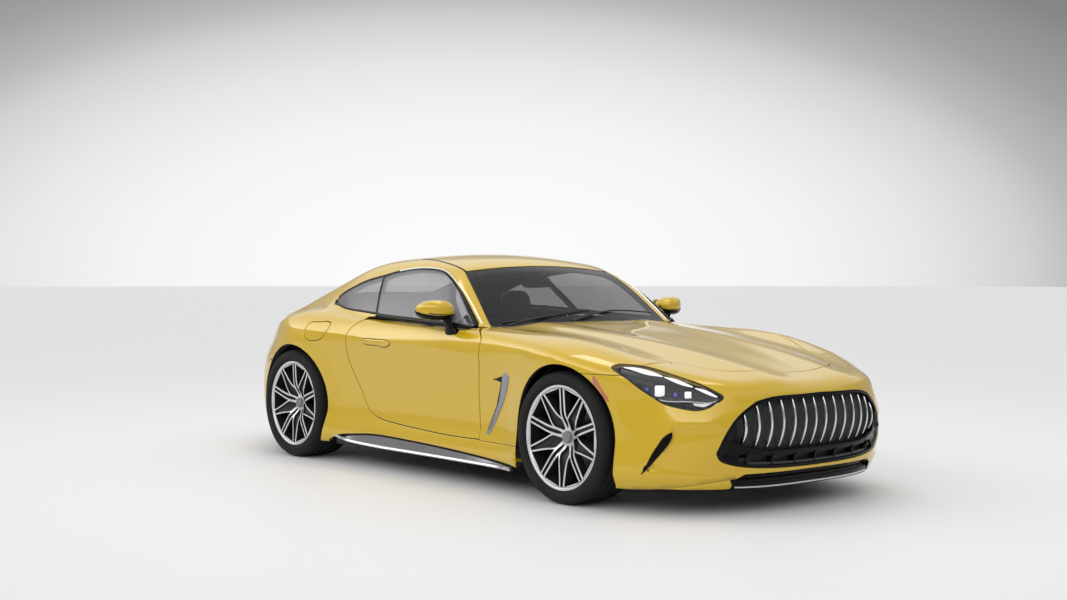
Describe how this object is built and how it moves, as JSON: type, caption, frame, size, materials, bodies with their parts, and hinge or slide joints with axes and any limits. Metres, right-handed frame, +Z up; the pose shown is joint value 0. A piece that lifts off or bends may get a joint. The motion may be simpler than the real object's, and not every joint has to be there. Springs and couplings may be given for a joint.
{
  "type": "coupe car",
  "caption": "Low two-door sports coupe with long bonnet, opening doors, bonnet and tailgate, steered front wheels and wide tyres",
  "frame": {"origin": "on the ground at the centre of the car's length and width", "axes": "+Y towards the rear, +X towards the car's left side, +Z up"},
  "size_m": [2.104, 4.726, 1.3538],
  "materials": {
    "paint": "gloss",
    "glass": "gloss",
    "black_plastic": "satin",
    "headlamp": "gloss",
    "tail_lamp": "gloss",
    "shell_steel": "matt",
    "engine_alloy": "matt",
    "bright_steel": "gloss",
    "interior": "matt",
    "leather": "satin",
    "cast_alloy": "matt",
    "tyre": "matt",
    "rim": "machined",
    "disc_iron": "machined"
  },
  "bodies": {
    "shell": {"underbody": "shell_steel", "engine_block": "engine_alloy", "front_bumper": "paint", "grille": "black_plastic", "front_splitter": "black_plastic", "front_fenders": "paint", "body_sides": "paint", "roof_panel": "paint", "windshield": "glass", "cowl_panel": "black_plastic", "quarter_windows": "glass", "headlights": "headlamp", "taillights": "tail_lamp", "rear_bumper": "paint", "rear_diffuser": "black_plastic", "exhaust_tips": "bright_steel", "wheel_arch_liners": "black_plastic", "dashboard": "interior", "seats": "leather", "suspension": "cast_alloy"},
    "steering_wheel_body": {"steering_wheel": "interior"},
    "door_left_body": {"door_left": "paint", "door_window_left": "glass", "mirror_left": "black_plastic"},
    "door_right_body": {"door_right": "paint", "door_window_right": "glass", "mirror_right": "black_plastic"},
    "bonnet_body": {"bonnet": "paint"},
    "tailgate_body": {"tailgate": "paint", "rear_window": "glass"},
    "fuel_flap_body": {"fuel_flap": "paint"},
    "knuckle_left_body": {"front_knuckle_left": "cast_alloy"},
    "knuckle_right_body": {"front_knuckle_right": "cast_alloy"},
    "wheel_front_left_body": {"tyre_front_left": "tyre", "rim_front_left": "rim", "brake_disc_front_left": "disc_iron"},
    "wheel_front_right_body": {"tyre_front_right": "tyre", "rim_front_right": "rim", "brake_disc_front_right": "disc_iron"},
    "wheel_rear_left_body": {"tyre_rear_left": "tyre", "rim_rear_left": "rim", "brake_disc_rear_left": "disc_iron"},
    "wheel_rear_right_body": {"tyre_rear_right": "tyre", "rim_rear_right": "rim", "brake_disc_rear_right": "disc_iron"}
  },
  "joints": [
    {"name": "steering_left", "type": "hinge", "parent": "shell", "child": "knuckle_left_body", "pos_m": [0.79, -1.384, 0.355], "axis": [0, 0, 1], "range_deg": [-26, 26]},
    {"name": "steering_right", "type": "hinge", "parent": "shell", "child": "knuckle_right_body", "pos_m": [-0.79, -1.384, 0.355], "axis": [0, 0, 1], "range_deg": [-26, 26]},
    {"name": "wheel_front_left", "type": "hinge", "parent": "knuckle_left_body", "child": "wheel_front_left_body", "pos_m": [0.835, -1.384, 0.355], "axis": [1, 0, 0], "continuous": true},
    {"name": "wheel_front_right", "type": "hinge", "parent": "knuckle_right_body", "child": "wheel_front_right_body", "pos_m": [-0.835, -1.384, 0.355], "axis": [1, 0, 0], "continuous": true},
    {"name": "wheel_rear_left", "type": "hinge", "parent": "shell", "child": "wheel_rear_left_body", "pos_m": [0.835, 1.316, 0.358], "axis": [1, 0, 0], "continuous": true},
    {"name": "wheel_rear_right", "type": "hinge", "parent": "shell", "child": "wheel_rear_right_body", "pos_m": [-0.835, 1.316, 0.358], "axis": [1, 0, 0], "continuous": true},
    {"name": "steering_wheel_turn", "type": "hinge", "parent": "shell", "child": "steering_wheel_body", "pos_m": [0.372, -0.215, 0.77], "axis": [0, 0.9135, 0.4067], "range_deg": [-378, 378]},
    {"name": "door_left_hinge", "type": "hinge", "parent": "shell", "child": "door_left_body", "pos_m": [0.918, -0.618, 0.6], "axis": [0, 0, -1], "range_deg": [0, 62]},
    {"name": "door_right_hinge", "type": "hinge", "parent": "shell", "child": "door_right_body", "pos_m": [-0.918, -0.618, 0.6], "axis": [0, 0, 1], "range_deg": [0, 62]},
    {"name": "bonnet_hinge", "type": "hinge", "parent": "shell", "child": "bonnet_body", "pos_m": [0, -0.612, 0.948], "axis": [-1, 0, 0], "range_deg": [0, 55]},
    {"name": "tailgate_hinge", "type": "hinge", "parent": "shell", "child": "tailgate_body", "pos_m": [0, 0.433, 1.352], "axis": [1, 0, 0], "range_deg": [0, 68]},
    {"name": "fuel_flap_hinge", "type": "hinge", "parent": "shell", "child": "fuel_flap_body", "pos_m": [-0.947, 0.845, 0.85], "axis": [0, 0, 1], "range_deg": [0, 80]}
  ],
  "couplings": [
    {"joint": "steering_right", "follows": "steering_left", "ratio": 1},
    {"joint": "steering_wheel_turn", "follows": "steering_left", "ratio": 14.5}
  ]
}
